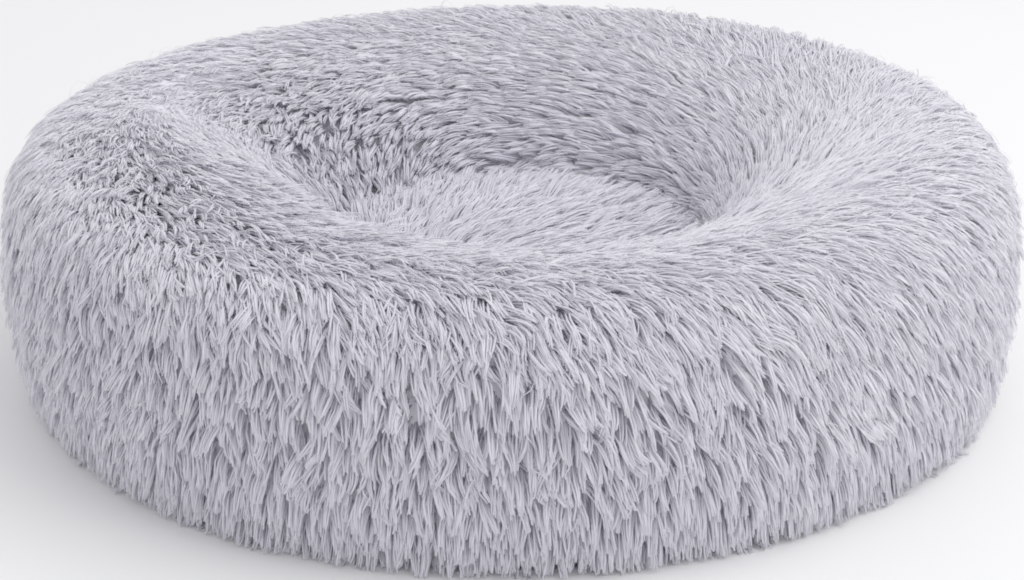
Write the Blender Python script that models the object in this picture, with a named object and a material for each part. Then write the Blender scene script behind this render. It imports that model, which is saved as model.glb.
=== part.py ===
"""Round donut-shaped pet bed: fur panels over a filled ring and a filled floor, on a woven base.

The bed stands on the plane z = 0 with its axis on +Z, and its front faces -Y. Sizes are in metres.
Every fur panel is a thick shell from its backing to the tips of its pile.
"""

from math import cos, pi, radians, sin

import bmesh
import bpy

# Overall sizes, over the tips of the pile
OVERALL_DIAMETER = 0.620
OVERALL_HEIGHT = 0.160
CREST_DIAMETER = 0.496  # circle along the top of the ring
NEST_DIAMETER = 0.232  # free width inside the ring, at the floor
FLOOR_DOME = 0.014  # rise of the floor from its edge to its middle

# Cloth and seams
PILE_DEPTH = 0.022  # backing and pile together
BASE_THICKNESS = 0.0015
SEAM_ALLOWANCE = 0.008  # how far a seam stands up from the backing into the pile
SEAM_SLOT = 0.0013  # half of the parting between two panels
BASE_SEAM_WIDTH = 0.003
CLEARANCE = 0.0003  # between neighbouring pieces

# Shape of the ring's section
OUTER_FULLNESS = 2.8  # 2 is an ellipse, more is squarer, 1 is a straight slope
INNER_FULLNESS = 1.5
FOOT_DEPTH = 0.014  # how far below the ground the outer wall would meet the crest circle

# Side seams, as steps of the circle counted from +X towards +Y
STEPS = 48
RIGHT_SEAM_STEP = 5
LEFT_SEAM_STEP = 18

OUTER_POINTS = 8  # points up the outer wall
INNER_POINTS = 7  # points down the inner wall
DOME_POINTS = 4

CREST_RADIUS = CREST_DIAMETER / 2
NEST_RADIUS = NEST_DIAMETER / 2
HALF_HEIGHT = OVERALL_HEIGHT / 2
OUTER_REACH = OVERALL_DIAMETER / 2 - CREST_RADIUS
INNER_REACH = CREST_RADIUS - NEST_RADIUS
SEAM_HALF = SEAM_SLOT - CLEARANCE  # half of a seam's own thickness
SHARP_ANGLE = radians(40)

FUR_COLOUR = (0.66, 0.65, 0.71)
FUR_ROUGHNESS = 0.95
FILLING_COLOUR = (0.86, 0.86, 0.85)
FILLING_ROUGHNESS = 1.0
BASE_COLOUR = (0.34, 0.34, 0.37)
BASE_ROUGHNESS = 0.8
THREAD_COLOUR = (0.56, 0.55, 0.61)
THREAD_ROUGHNESS = 0.7


def clear_scene():
    """Take every object out of the scene."""
    for obj in list(bpy.data.objects):
        bpy.data.objects.remove(obj, do_unlink=True)


def rounded(part, fullness):
    """How wide a rounded corner still is at a part of its depth, both as parts of 1."""
    return max(0.0, 1 - part**fullness) ** (1 / fullness)


def outer_wall(inset):
    """Section of the outer wall from the ground up to the crest, moved inwards by `inset`.

    At the ground the cloth runs on under the bed, so the lower half moves sideways only.
    """
    across = OUTER_REACH - inset
    above = HALF_HEIGHT - inset
    below = HALF_HEIGHT + FOOT_DEPTH
    points = []
    lower = OUTER_POINTS // 2
    for i in range(lower):
        drop = HALF_HEIGHT * (1 - i / lower)
        width = rounded(drop / below, OUTER_FULLNESS)
        points.append((CREST_RADIUS + across * width, HALF_HEIGHT - drop))
    upper = OUTER_POINTS - lower
    for i in range(upper + 1):
        turn = pi / 2 * i / upper
        run = cos(turn) ** (2 / OUTER_FULLNESS) if i < upper else 0.0
        rise = sin(turn) ** (2 / OUTER_FULLNESS)
        points.append((CREST_RADIUS + across * run, HALF_HEIGHT + above * rise))
    return points


def inner_wall(inset):
    """Section of the inner wall, from the crest down to the floor, moved into the ring by `inset`."""
    across = INNER_REACH - inset
    above = HALF_HEIGHT - inset
    points = []
    for i in range(INNER_POINTS + 1):
        turn = pi / 2 * (1 - i / INNER_POINTS)
        run = cos(turn) ** (2 / INNER_FULLNESS) if i else 0.0
        rise = sin(turn) ** (2 / INNER_FULLNESS) if i < INNER_POINTS else 0.0
        points.append((CREST_RADIUS - across * run, HALF_HEIGHT + above * rise))
    return points


def raised_foot(points, height):
    """The same section with its first point, on the ground, moved up along the section to a height."""
    (low_radius, _), (next_radius, next_height) = points[:2]
    radius = low_radius + (next_radius - low_radius) * height / next_height
    return [(radius, height), *points[1:]]


def moved_end(points, index, radial=0.0, upward=0.0):
    """The same section with one of its points moved."""
    moved = list(points)
    radius, height = moved[index]
    moved[index] = (radius + radial, height + upward)
    return moved


def make_material(name, colour, roughness):
    """A plain Principled material of the piece's own."""
    material = bpy.data.materials.new(name)
    material.use_nodes = True
    shader = material.node_tree.nodes["Principled BSDF"]
    shader.inputs["Base Color"].default_value = (*colour, 1.0)
    shader.inputs["Roughness"].default_value = roughness
    shader.inputs["Metallic"].default_value = 0.0
    return material


def make_object(name, vertices, faces, colour, roughness):
    """One closed body with its normals outwards, shaded smooth."""
    mesh = bpy.data.meshes.new(name)
    mesh.from_pydata(vertices, [], faces)
    work = bmesh.new()
    work.from_mesh(mesh)
    bmesh.ops.recalc_face_normals(work, faces=work.faces)
    work.to_mesh(mesh)
    work.free()
    mesh.shade_smooth()
    mesh.set_sharp_from_angle(angle=SHARP_ANGLE)
    mesh.materials.append(make_material(name, colour, roughness))
    obj = bpy.data.objects.new(name, mesh)
    bpy.context.scene.collection.objects.link(obj)
    return obj


def placed(section, step, sideways=0.0):
    """Points of a section turned to a step of the circle and moved along the circle by `sideways`."""
    turn = 2 * pi * step / STEPS
    along, across = cos(turn), sin(turn)
    return [(r * along - sideways * across, r * across + sideways * along, z) for r, z in section]


def full_turn(section):
    """Vertices and faces of a closed section swept round the whole circle."""
    count = len(section)
    vertices = [point for step in range(STEPS) for point in placed(section, step)]
    faces = []
    for step in range(STEPS):
        here, ahead = step * count, (step + 1) % STEPS * count
        for i in range(count):
            j = (i + 1) % count
            faces.append((here + i, here + j, ahead + j, ahead + i))
    return vertices, faces


def domed_disc(section):
    """Vertices and faces of a section swept round the axis, whose first and last points lie on it."""
    rim = section[1:-1]
    count = len(rim)
    vertices = [point for step in range(STEPS) for point in placed(rim, step)]
    first, last = len(vertices), len(vertices) + 1
    vertices += [(0.0, 0.0, section[0][1]), (0.0, 0.0, section[-1][1])]
    faces = []
    for step in range(STEPS):
        here, ahead = step * count, (step + 1) % STEPS * count
        for i in range(count - 1):
            faces.append((here + i, here + i + 1, ahead + i + 1, ahead + i))
        faces.append((first, here, ahead))
        faces.append((last, ahead + count - 1, here + count - 1))
    return vertices, faces


def stacked_arc(rows, count):
    """Faces of an arc whose rows each hold an outer and an inner section of `count` points."""
    size = 2 * count
    ring = list(range(count)) + list(range(size - 1, count - 1, -1))
    faces = []
    for row in range(rows - 1):
        here, ahead = row * size, (row + 1) * size
        for k, i in enumerate(ring):
            j = ring[(k + 1) % size]
            faces.append((here + i, here + j, ahead + j, ahead + i))
    for start in (0, (rows - 1) * size):
        for i in range(count - 1):
            faces.append((start + i, start + i + 1, start + count + i + 1, start + count + i))
    return faces


def make_panel(name, outside, inside, first, last, margin):
    """A shell between two sections from one step of the circle to another, short of both by `margin`."""
    vertices = []
    for step in range(first, last + 1):
        sideways = margin if step == first else -margin if step == last else 0.0
        vertices += placed(outside, step, sideways) + placed(inside, step, sideways)
    faces = stacked_arc(last - first + 1, len(outside))
    return make_object(name, vertices, faces, FUR_COLOUR, FUR_ROUGHNESS)


def make_cross_seam(name, outside, inside, step):
    """A flat seam across a panel, in the parting at one step of the circle."""
    vertices = []
    for sideways in (-SEAM_HALF, SEAM_HALF):
        vertices += placed(outside, step, sideways) + placed(inside, step, sideways)
    faces = stacked_arc(2, len(outside))
    return make_object(name, vertices, faces, THREAD_COLOUR, THREAD_ROUGHNESS)


def make_outer_fur():
    """The long front strip and the short rear strip of the outer wall, with their two seams."""
    outside = moved_end(outer_wall(0.0), -1, radial=SEAM_SLOT)
    inside = moved_end(outer_wall(PILE_DEPTH), -1, radial=SEAM_SLOT)
    seam_top = moved_end(outer_wall(PILE_DEPTH - SEAM_ALLOWANCE), -1, radial=SEAM_SLOT)
    seam_top, seam_foot = raised_foot(seam_top, CLEARANCE), raised_foot(inside, CLEARANCE)
    front_end = RIGHT_SEAM_STEP + STEPS
    make_panel("outer_fur_front", outside, inside, LEFT_SEAM_STEP, front_end, SEAM_SLOT)
    make_panel("outer_fur_back", outside, inside, RIGHT_SEAM_STEP, LEFT_SEAM_STEP, SEAM_SLOT)
    make_cross_seam("outer_seam_left", seam_top, seam_foot, LEFT_SEAM_STEP)
    make_cross_seam("outer_seam_right", seam_top, seam_foot, RIGHT_SEAM_STEP)


def parted(section):
    """An inner wall section that stops short of the crest seam above and of the floor seam below."""
    return moved_end(moved_end(section, 0, radial=-SEAM_SLOT), -1, upward=SEAM_SLOT)


def make_inner_fur():
    """The front strip and the rear strip of the inner wall, with their two seams."""
    outside, inside = parted(inner_wall(0.0)), parted(inner_wall(PILE_DEPTH))
    seam_top = parted(inner_wall(PILE_DEPTH - SEAM_ALLOWANCE))
    front_end = RIGHT_SEAM_STEP + STEPS
    make_panel("inner_fur_front", outside, inside, LEFT_SEAM_STEP, front_end, SEAM_SLOT)
    make_panel("inner_fur_back", outside, inside, RIGHT_SEAM_STEP, LEFT_SEAM_STEP, SEAM_SLOT)
    make_cross_seam("inner_seam_left", seam_top, inside, LEFT_SEAM_STEP)
    make_cross_seam("inner_seam_right", seam_top, inside, RIGHT_SEAM_STEP)


def dome(edge_height):
    """Section of the floor from the axis out: a dome as wide as the nest, then its tucked-in edge."""
    points = []
    for i in range(DOME_POINTS + 1):
        part = i / DOME_POINTS
        points.append((NEST_RADIUS * part, edge_height + FLOOR_DOME * (1 - part * part)))
    points.append((NEST_RADIUS + PILE_DEPTH, edge_height))
    return points


def make_floor():
    """The fur panel of the floor, and the wadding under it."""
    top = dome(HALF_HEIGHT - SEAM_SLOT)
    backing = dome(HALF_HEIGHT - SEAM_SLOT - PILE_DEPTH)
    vertices, faces = domed_disc(top + backing[::-1])
    make_object("floor_fur", vertices, faces, FUR_COLOUR, FUR_ROUGHNESS)
    wadding_top = dome(HALF_HEIGHT - SEAM_SLOT - PILE_DEPTH - CLEARANCE)
    underside = BASE_THICKNESS + CLEARANCE
    edge = (NEST_RADIUS + PILE_DEPTH, underside)
    vertices, faces = domed_disc(wadding_top + [edge, (0.0, underside)])
    make_object("floor_wadding", vertices, faces, FILLING_COLOUR, FILLING_ROUGHNESS)


def make_ring_filling():
    """The loose fibre inside the ring, against the backing of the fur on both walls."""
    inset = PILE_DEPTH + CLEARANCE
    underside = BASE_THICKNESS + CLEARANCE
    section = raised_foot(outer_wall(inset), underside) + inner_wall(inset)[1:]
    section.append((section[-1][0], underside))
    vertices, faces = full_turn(section)
    make_object("ring_filling", vertices, faces, FILLING_COLOUR, FILLING_ROUGHNESS)


def make_base():
    """The woven base, and the seam that joins it to the outer fur."""
    fur_edge = outer_wall(PILE_DEPTH)[0][0]
    seam_outside = fur_edge - CLEARANCE
    seam_inside = seam_outside - BASE_SEAM_WIDTH
    radius = seam_inside - CLEARANCE
    section = [(0.0, BASE_THICKNESS), (radius, BASE_THICKNESS), (radius, 0.0), (0.0, 0.0)]
    vertices, faces = domed_disc(section)
    make_object("base_fabric", vertices, faces, BASE_COLOUR, BASE_ROUGHNESS)
    make_round_seam("base_seam", seam_inside, seam_outside, CLEARANCE, BASE_THICKNESS)


def make_round_seam(name, inner_radius, outer_radius, low, high):
    """A flat or upright band that runs round the whole bed."""
    section = [(inner_radius, low), (outer_radius, low), (outer_radius, high), (inner_radius, high)]
    vertices, faces = full_turn(section)
    return make_object(name, vertices, faces, THREAD_COLOUR, THREAD_ROUGHNESS)


def make_crest_and_floor_seams():
    """The seam along the top of the ring, and the one round the floor."""
    backing_height = OVERALL_HEIGHT - PILE_DEPTH
    make_round_seam("crest_seam", CREST_RADIUS - SEAM_HALF, CREST_RADIUS + SEAM_HALF,
                    backing_height, backing_height + SEAM_ALLOWANCE)
    backing_radius = NEST_RADIUS + PILE_DEPTH
    make_round_seam("floor_seam", backing_radius - SEAM_ALLOWANCE, backing_radius,
                    HALF_HEIGHT - SEAM_HALF, HALF_HEIGHT + SEAM_HALF)


def main():
    """Build the bed from the floor up."""
    clear_scene()
    make_base()
    make_ring_filling()
    make_floor()
    make_outer_fur()
    make_inner_fur()
    make_crest_and_floor_seams()


if __name__ == "__main__":
    main()
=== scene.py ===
"""A round pet cushion bed: long-pile plush over a padded ring and a domed, sunken floor.

Every visible tuft is mesh.  The ring and the floor cushion are padded bodies, knitted backing is laid on
them, and the pile is grown out of the backing along a table of nap directions.
"""

import logging
import math
from dataclasses import dataclass
from enum import Enum
from typing import Sequence

import bpy
import numpy as np
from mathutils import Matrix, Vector
from mathutils.kdtree import KDTree


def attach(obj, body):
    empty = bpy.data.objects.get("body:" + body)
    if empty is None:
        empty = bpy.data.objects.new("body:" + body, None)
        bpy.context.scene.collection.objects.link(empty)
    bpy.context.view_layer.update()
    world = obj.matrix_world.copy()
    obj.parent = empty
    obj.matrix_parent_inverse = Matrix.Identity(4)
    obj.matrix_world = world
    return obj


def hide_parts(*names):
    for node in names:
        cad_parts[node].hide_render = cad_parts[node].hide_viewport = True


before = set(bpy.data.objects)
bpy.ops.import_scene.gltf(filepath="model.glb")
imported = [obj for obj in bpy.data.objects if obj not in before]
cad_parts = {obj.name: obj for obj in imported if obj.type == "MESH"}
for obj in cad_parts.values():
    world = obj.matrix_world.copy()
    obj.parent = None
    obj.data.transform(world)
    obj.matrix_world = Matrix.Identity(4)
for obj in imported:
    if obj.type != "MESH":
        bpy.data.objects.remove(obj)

LOG = logging.getLogger("cushion_bed")
TAU = 2.0 * math.pi
ROOT_BODY = "root"
Array = np.ndarray
Piece = bpy.types.Object
Socket = bpy.types.NodeSocket
Triple = tuple[float, float, float]


class Slot(Enum):
    """Material slot names."""

    FUR = "fur"
    FILLING = "filling"
    BASE = "base_weave"
    THREAD = "thread"


class Station(Enum):
    """Stations along the section, as arc length from the ground up the outside, in metres."""

    FOOT = 0.012
    LOW = 0.050
    WALL = 0.095
    SHOULDER = 0.150
    CREST = 0.205
    LIP = 0.245
    SLOPE = 0.305
    NEST_FOOT = 0.360


# ---------- geometry helpers


def build_mesh(name: str, points: Array, quads: Array, triangles: Array) -> Piece:
    """Make a smooth-shaded mesh object from arrays.

    Args:
        name: object and mesh name.
        points: (n, 3) places in metres.
        quads: (q, 4) corner numbers.
        triangles: (t, 3) corner numbers.

    Returns:
        The object, linked into the scene.
    """
    mesh = bpy.data.meshes.new(name)
    mesh.vertices.add(len(points))
    mesh.vertices.foreach_set("co", np.ascontiguousarray(points, np.float32).ravel())
    corners = np.concatenate([quads.ravel(), triangles.ravel()]).astype(np.int32)
    mesh.loops.add(len(corners))
    mesh.loops.foreach_set("vertex_index", corners)
    starts = np.concatenate([4 * np.arange(len(quads)), 4 * len(quads) + 3 * np.arange(len(triangles))])
    mesh.polygons.add(len(starts))
    mesh.polygons.foreach_set("loop_start", starts.astype(np.int32))
    mesh.polygons.foreach_set("use_smooth", np.ones(len(starts), bool))
    mesh.update(calc_edges=True)
    mesh.validate()
    obj = bpy.data.objects.new(name, mesh)
    bpy.context.scene.collection.objects.link(obj)
    return obj


def build_tubes(name: str, path: Array, normal: Array, half: Array, flatness: float,
                ground: float) -> Piece:
    """Turn many short paths into three-sided tubes with closed ends.

    Args:
        name: object name.
        path: (n, rings, 3) middle lines.
        normal: (n, 3) directions that the tubes' flat backs face away from.
        half: (rings,) or (n, rings) half widths.
        flatness: thickness as a share of width.
        ground: lowest height allowed.

    Returns:
        The object, its faces in order: sides strand by strand, then the end caps.
    """
    count, rings = path.shape[:2]
    way = unit(np.gradient(path, axis=1))
    side = unit(np.cross(way, normal[:, None]))
    up = np.cross(side, way)
    turns = np.radians([90.0, 210.0, 330.0])
    wide = np.broadcast_to(half, (count, rings))[:, :, None]
    points = (path[:, :, None]
              + side[:, :, None] * (np.cos(turns) * wide)[..., None]
              + up[:, :, None] * (np.sin(turns) * wide * flatness)[..., None])
    points[..., 2] = np.maximum(points[..., 2], ground)
    base = (np.arange(count) * rings * 3)[:, None, None, None]
    ring = (np.arange(rings - 1) * 3)[None, :, None, None]
    edge = np.arange(3)
    corner = np.stack([edge, (edge + 1) % 3, (edge + 1) % 3 + 3, edge + 3], -1)[None, None]
    quads = (base + ring + corner).reshape(-1, 4)
    first = (np.arange(count) * rings * 3)[:, None]
    caps = np.stack([first + [2, 1, 0], first + (rings - 1) * 3 + [0, 1, 2]], 1).reshape(-1, 3)
    return build_mesh(name, points.reshape(-1, 3), quads, caps)


def no_triangles() -> Array:
    """An empty triangle list."""
    return np.zeros((0, 3), int)


def read_points(obj: Piece) -> Array:
    """The points of a piece's mesh."""
    flat = np.empty(len(obj.data.vertices) * 3, np.float32)
    obj.data.vertices.foreach_get("co", flat)
    return flat.reshape(-1, 3).astype(float)


def write_points(obj: Piece, points: Array) -> None:
    """Move the points of a piece's mesh."""
    obj.data.vertices.foreach_set("co", points.astype(np.float32).ravel())
    obj.data.update()


def travel(line: Array) -> Array:
    """Distance along a line at each of its points."""
    return np.concatenate([[0.0], np.cumsum(np.linalg.norm(np.diff(line, axis=0), axis=1))])


def points_at(line: Array, steps: Array, where: Array) -> Array:
    """Points of a line at distances along it."""
    return np.stack([np.interp(where, steps, column) for column in line.T], -1)


def between(table: Array, i: Array, j: Array, after: Array, u: Array, v: Array) -> Array:
    """Read a table between four cells: i and i + 1 by the share u, j and after by the share v."""
    return (table[i, j] * (1 - u) * (1 - v) + table[i + 1, j] * u * (1 - v)
            + table[i, after] * (1 - u) * v + table[i + 1, after] * u * v)


def unit(vectors: Array) -> Array:
    """Scale vectors to length one along the last axis."""
    return vectors / np.maximum(np.linalg.norm(vectors, axis=-1, keepdims=True), 1e-12)


def smooth(low: float, high: float, value: Array) -> Array:
    """A smooth step from 0 at low to 1 at high."""
    share = np.clip((value - low) / (high - low), 0.0, 1.0)
    return share * share * (3.0 - 2.0 * share)


class Ripple:
    """Smooth, seeded noise made of a few sine waves, the same on every run."""

    def __init__(self, seed: int, wavelength: float, waves: int = 7) -> None:
        """Draw the waves.

        Args:
            seed: random seed.
            wavelength: usual distance between humps, in metres.
            waves: number of sines added.
        """
        rng = np.random.default_rng(seed)
        size = TAU / wavelength * rng.uniform(0.6, 1.6, (waves, 1))
        self.ways = unit(rng.normal(size=(waves, 3))) * size
        self.starts = rng.uniform(0.0, TAU, waves)
        self.gain = 1.6 / math.sqrt(waves)

    def __call__(self, points: Array) -> Array:
        """Noise of about -1 to 1 at (n, 3) points."""
        return np.sin(points @ self.ways.T + self.starts).sum(axis=-1) * self.gain * 0.5


# ---------- shape of the bed


@dataclass(frozen=True)
class SectionSize:
    """The pile's outer form, cut through the ring.  Metres."""

    crest_radius: float = 0.248
    outer_reach: float = 0.062
    inner_reach: float = 0.132
    half_height: float = 0.080
    foot_depth: float = 0.014
    tuck_depth: float = 0.0125
    floor_edge: float = 0.0787
    floor_dome: float = 0.014
    outer_fullness: float = 2.8
    inner_fullness: float = 1.5

    @property
    def nest_radius(self) -> float:
        """Radius of the sunken floor."""
        return self.crest_radius - self.inner_reach


@dataclass(frozen=True)
class Lumps:
    """How the stuffing departs from round, every 30 degrees anticlockwise from +X.  Metres."""

    low: tuple[float, ...] = (.002, .000, .000, .000, .002, .003, .000, -.003, -.003, -.003, -.004, .001)
    high: tuple[float, ...] = (.000, .001, .000, -.001, .000, .001, .001, .000, .000, .000, .000, .000)
    rise: tuple[float, ...] = (.000, .002, .002, .001, -.001, .000, .000, -.001, -.004, -.005, -.004, .000)
    fold: tuple[float, ...] = (.002, -.005, .000, -.001, -.006, -.018, .009, .016, .005, .000, .000, .002)

    @staticmethod
    def around(values: Sequence[float], angle: Array) -> Array:
        """Values at the angles, joined by a smooth closed curve."""
        table = np.asarray(values, float)
        place = (angle / TAU * len(table)) % len(table)
        first = np.floor(place).astype(int)
        share = place - first
        p0, p1, p2, p3 = (table[(first + k) % len(table)] for k in (-1, 0, 1, 2))
        bend = 2 * p0 - 5 * p1 + 4 * p2 - p3
        return p1 + 0.5 * share * (p2 - p0 + share * (bend + share * (3 * (p1 - p2) + p3 - p0)))


class BedShape:
    """The bed's outer form: its section, the distance from it, and the lumps round it."""

    CELL = 0.0015
    REACH = 0.375
    BELOW = -0.045
    ABOVE = 0.225
    SAMPLES = 640
    WALL_SAMPLES = 200
    BATCH = 4000
    BEHIND_AXIS = -0.05
    UNDER = -0.2

    def __init__(self, size: SectionSize, lumps: Lumps) -> None:
        """Trace the section and fill the distance table.

        Args:
            size: section sizes.
            lumps: departures from round.
        """
        self.size, self.lumps = size, lumps
        self.outline, self.arc = self._trace()
        self.floor_arc = float(self.arc[-1])
        self._fill_table()

    def _trace(self) -> tuple[Array, Array]:
        """Follow the section from under the foot, over the crest, to the middle of the floor."""
        s = self.size
        rise = np.linspace(-s.tuck_depth, s.half_height, 90)
        share = np.clip((s.half_height - rise) / (s.half_height + s.foot_depth), 0.0, 1.0)
        wall = s.crest_radius + s.outer_reach * (1 - share**s.outer_fullness) ** (1 / s.outer_fullness)
        turn = np.linspace(0.0, math.pi / 2, 120)[1:]
        over = self._quarter(turn, s.outer_reach, s.outer_fullness)
        inner = self._quarter(turn[::-1][1:], -s.inner_reach, s.inner_fullness)
        radius = np.linspace(s.nest_radius, 0.0, 60)
        floor = np.stack([radius, s.floor_edge + s.floor_dome * (1 - (radius / s.nest_radius) ** 2)], 1)
        line = np.concatenate([np.stack([wall, rise], 1), over, inner, floor])
        steps = travel(line)
        even = np.linspace(0.0, steps[-1], self.SAMPLES)
        line = points_at(line, steps, even)
        ground = np.interp(0.0, line[:self.WALL_SAMPLES, 1], even[:self.WALL_SAMPLES])
        return line, even - ground

    def _quarter(self, turn: Array, reach: float, fullness: float) -> Array:
        """The section above mid-height on one side of the crest; a negative reach runs inward."""
        s = self.size
        return np.stack([s.crest_radius + reach * np.cos(turn) ** (2 / fullness),
                         s.half_height + s.half_height * np.sin(turn) ** (2 / fullness)], 1)

    def _fill_table(self) -> None:
        """Signed distance from the outer form on a grid of radius and height; inside is negative."""
        radius = np.arange(0.0, self.REACH, self.CELL)
        height = np.arange(self.BELOW, self.ABOVE, self.CELL)
        spots = np.stack(np.meshgrid(radius, height, indexing="ij"), -1).reshape(-1, 2)
        a, b = self.outline[:-1], self.outline[1:]
        span = b - a
        far = np.empty(len(spots))
        for k in range(0, len(spots), self.BATCH):
            gap = spots[k:k + self.BATCH, None] - a
            along = np.clip((gap * span).sum(-1) / (span**2).sum(-1), 0, 1)
            far[k:k + self.BATCH] = np.linalg.norm(gap - along[..., None] * span, axis=-1).min(axis=1)
        way_back = [[self.BEHIND_AXIS, self.outline[-1, 1]], [self.BEHIND_AXIS, self.UNDER],
                    [self.outline[0, 0], self.UNDER]]
        ring = np.concatenate([self.outline, way_back])
        inside = np.zeros(len(spots), bool)
        for (r0, z0), (r1, z1) in zip(ring, np.roll(ring, -1, axis=0)):
            if z0 == z1:
                continue
            crosses = (spots[:, 1] > min(z0, z1)) & (spots[:, 1] <= max(z0, z1))
            inside ^= crosses & (spots[:, 0] < r0 + (spots[:, 1] - z0) * (r1 - r0) / (z1 - z0))
        table = np.where(inside, -far, far).reshape(len(radius), len(height))
        slope_r, slope_z = np.gradient(table, self.CELL)
        size = np.maximum(np.hypot(slope_r, slope_z), 1e-9)
        self.table = np.stack([table, slope_r / size, slope_z / size], -1)

    def _look_up(self, radius: Array, height: Array) -> Array:
        """Distance and its direction at plain (unlumped) places."""
        i = np.clip(radius / self.CELL, 0, self.table.shape[0] - 1.001)
        j = np.clip((height - self.BELOW) / self.CELL, 0, self.table.shape[1] - 1.001)
        i0, j0 = i.astype(int), j.astype(int)
        return between(self.table, i0, j0, j0 + 1, (i - i0)[..., None], (j - j0)[..., None])

    def _shift(self, angle: Array, radius: Array, height: Array) -> tuple[Array, Array]:
        """How far the lumps move a place outward, and the share by which they raise it."""
        top = np.clip(height / (2 * self.size.half_height), 0.0, 1.0)
        out = Lumps.around(self.lumps.low, angle) * (1 - top) + Lumps.around(self.lumps.high, angle) * top
        rise = Lumps.around(self.lumps.rise, angle) / (2 * self.size.half_height)
        slope = smooth(0.112, 0.165, radius) * smooth(0.262, 0.205, radius)
        fold = Lumps.around(self.lumps.fold, angle) / (1.4 * self.size.half_height)
        return out * smooth(0.13, 0.27, radius), 1.0 + rise * smooth(0.10, 0.22, radius) + fold * slope

    def place(self, angle: Array, radius: Array, height: Array) -> Array:
        """Turn plain section places at the angles into lumped points."""
        out, lift = self._shift(angle, radius, height)
        wide = radius + out
        return np.stack([wide * np.cos(angle), wide * np.sin(angle), height * lift], -1)

    def survey(self, points: Array) -> tuple[Array, Array]:
        """Signed distance from the outer form and the outward direction at (n, 3) points."""
        angle = np.arctan2(points[:, 1], points[:, 0])
        wide = np.hypot(points[:, 0], points[:, 1])
        out, lift = self._shift(angle, wide, points[:, 2])
        found = self._look_up(np.abs(wide - out), points[:, 2] / lift)
        normal = np.stack([found[:, 1] * np.cos(angle), found[:, 1] * np.sin(angle), found[:, 2]], -1)
        return found[:, 0], unit(normal)

    def inset(self, depth: float, start: float = -1.0, end: float = 9.0, count: int = 120) -> Array:
        """A section line at a depth under the outer form, (count, 2), between two arc lengths."""
        way = np.gradient(self.outline, axis=0)
        normal = unit(np.stack([way[:, 1], -way[:, 0]], 1))
        line = self.outline - depth * normal
        keep = (self.arc >= start) & (self.arc <= end) & (line[:, 0] >= 0)
        line = line[keep]
        steps = travel(line)
        return points_at(line, steps, np.linspace(0.0, steps[-1], count))


# ---------- finishes


class NodeBoard:
    """A short way to write a material's nodes."""

    def __init__(self, name: str) -> None:
        """Start a node material with one Principled shader.

        Args:
            name: material name.
        """
        self.material = bpy.data.materials.new(name)
        self.material.use_nodes = True
        self.tree = self.material.node_tree
        self.shader = next(n for n in self.tree.nodes if n.type == "BSDF_PRINCIPLED")

    def add(self, kind: str, **settings: object) -> bpy.types.Node:
        """Add a node and set its properties."""
        node = self.tree.nodes.new(kind)
        for key, value in settings.items():
            setattr(node, key, value)
        return node

    def feed(self, node: bpy.types.Node, **inputs: object) -> bpy.types.Node:
        """Link sockets or set values on inputs: i2 is input number 2, and underscores stand for spaces."""
        for key, value in inputs.items():
            numbered = key[0] == "i" and key[1:].isdigit()
            socket = node.inputs[int(key[1:]) if numbered else key.replace("_", " ")]
            if isinstance(value, Socket):
                self.tree.links.new(value, socket)
            else:
                socket.default_value = value
        return node

    def here(self) -> Socket:
        """Places in the piece's own metres."""
        return self.add("ShaderNodeTexCoord").outputs["Object"]

    def ramp(self, factor: Socket, stops: Sequence[tuple[float, Triple]]) -> Socket:
        """A colour ramp through the stops."""
        node = self.add("ShaderNodeValToRGB")
        band = node.color_ramp.elements
        while len(band) < len(stops):
            band.new(0.5)
        for element, (place, colour) in zip(band, stops):
            element.position = place
            element.color = (*colour, 1.0)
        self.feed(node, Fac=factor)
        return node.outputs["Color"]

    def noise(self, vector: Socket, scale: float, detail: float = 2.0, rough: float = 0.5) -> Socket:
        """Noise between 0 and 1."""
        node = self.add("ShaderNodeTexNoise")
        self.feed(node, Vector=vector, Scale=scale, Detail=detail, Roughness=rough)
        return node.outputs["Fac"]

    def stretch(self, vector: Socket, scale: Triple) -> Socket:
        """Scale a vector by axis."""
        node = self.add("ShaderNodeMapping")
        self.feed(node, Vector=vector, Scale=scale)
        return node.outputs["Vector"]

    def blend(self, mode: str, share: object, first: object, second: object) -> Socket:
        """Mix two colours."""
        node = self.add("ShaderNodeMix", data_type="RGBA", blend_type=mode)
        self.feed(node, i0=share, i6=first, i7=second)
        return node.outputs[2]

    def maths(self, way: str, first: object, second: object = 0.0) -> Socket:
        """One sum on numbers."""
        node = self.add("ShaderNodeMath", operation=way)
        self.feed(node, i0=first, i1=second)
        return node.outputs[0]

    def mingle(self, first: Socket, second: Socket) -> Socket:
        """Three parts of the first and two of the second."""
        return self.maths("ADD", self.maths("MULTIPLY", first, 0.6), self.maths("MULTIPLY", second, 0.4))

    def bump(self, height: Socket, strength: float, depth: float) -> None:
        """Raise the surface's shading by a height."""
        node = self.add("ShaderNodeBump")
        self.feed(node, Height=height, Strength=strength, Distance=depth)
        self.feed(self.shader, Normal=node.outputs["Normal"])

    def surface(self, **inputs: object) -> None:
        """Set the shader's inputs."""
        self.feed(self.shader, **inputs)


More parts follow.
